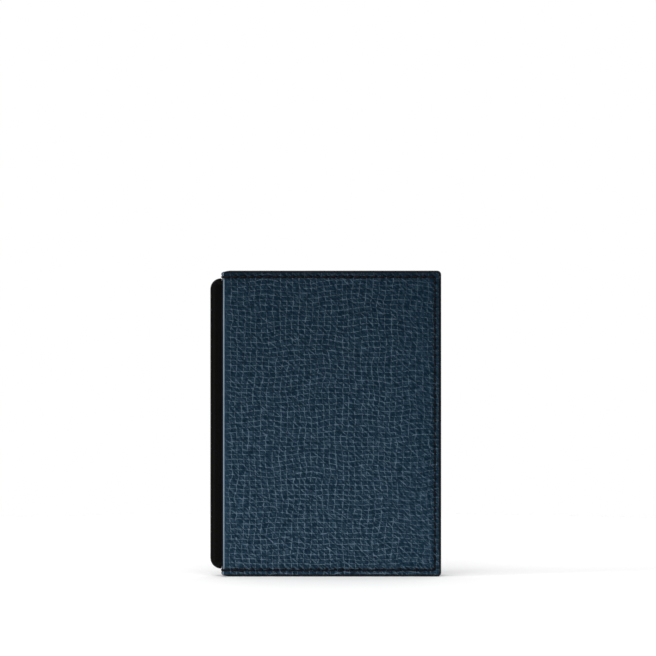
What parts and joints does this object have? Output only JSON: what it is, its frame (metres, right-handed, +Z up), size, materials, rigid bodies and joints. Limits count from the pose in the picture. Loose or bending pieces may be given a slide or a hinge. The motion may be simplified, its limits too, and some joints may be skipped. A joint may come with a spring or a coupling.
{
  "type": "card holder",
  "caption": "Flat lined leather card holder: a sleeve sewn on all sides but its mouth, stepped card slots on its back, and a windowed identity-card insert that pulls out.",
  "frame": {"origin": "middle of the overall box, at the lower painted edge that it stands on", "axes": "+Z up the long seam that joins mouth to far edge, plain cover faces -Y, card slots face +Y, the insert leaves the mouth towards -X"},
  "size_m": [0.0794, 0.0094, 0.105],
  "materials": {
    "leather_blue": "grained, semi-matt",
    "leather_black": "fine-grained, semi-matt",
    "lining": "woven",
    "board": "bonded leather board",
    "thread": "twisted, waxed",
    "edge_paint": "satin edge coat",
    "clear_film": "clear"
  },
  "bodies": {
    "sleeve": {"front_cover": "leather_blue", "front_board": "board", "front_lining": "lining", "welt_strips": "leather_black", "back_lining": "lining", "back_board": "board", "back_panel": "leather_blue", "slot_strips_1": "leather_black", "slot_facing_1": "leather_blue", "slot_strips_2": "leather_black", "slot_facing_2": "leather_blue", "slot_strips_3": "leather_black", "outer_pocket": "leather_blue", "sleeve_edge_paint": "edge_paint", "front_seam_thread": "thread", "back_seam_thread": "thread", "mouth_wrap_thread": "thread"},
    "id_insert": {"id_window_frame": "leather_black", "id_window_film": "clear_film", "id_card_strips": "leather_black", "id_back_lining": "lining", "id_back_panel": "leather_black", "id_edge_paint": "edge_paint", "id_window_thread": "thread", "id_front_seam_thread": "thread", "id_back_seam_thread": "thread"}
  },
  "joints": [
    {"name": "id_insert_slide", "type": "slide", "parent": "sleeve", "child": "id_insert", "axis": [-1, 0, 0], "range_m": [0, 0.0722]}
  ]
}
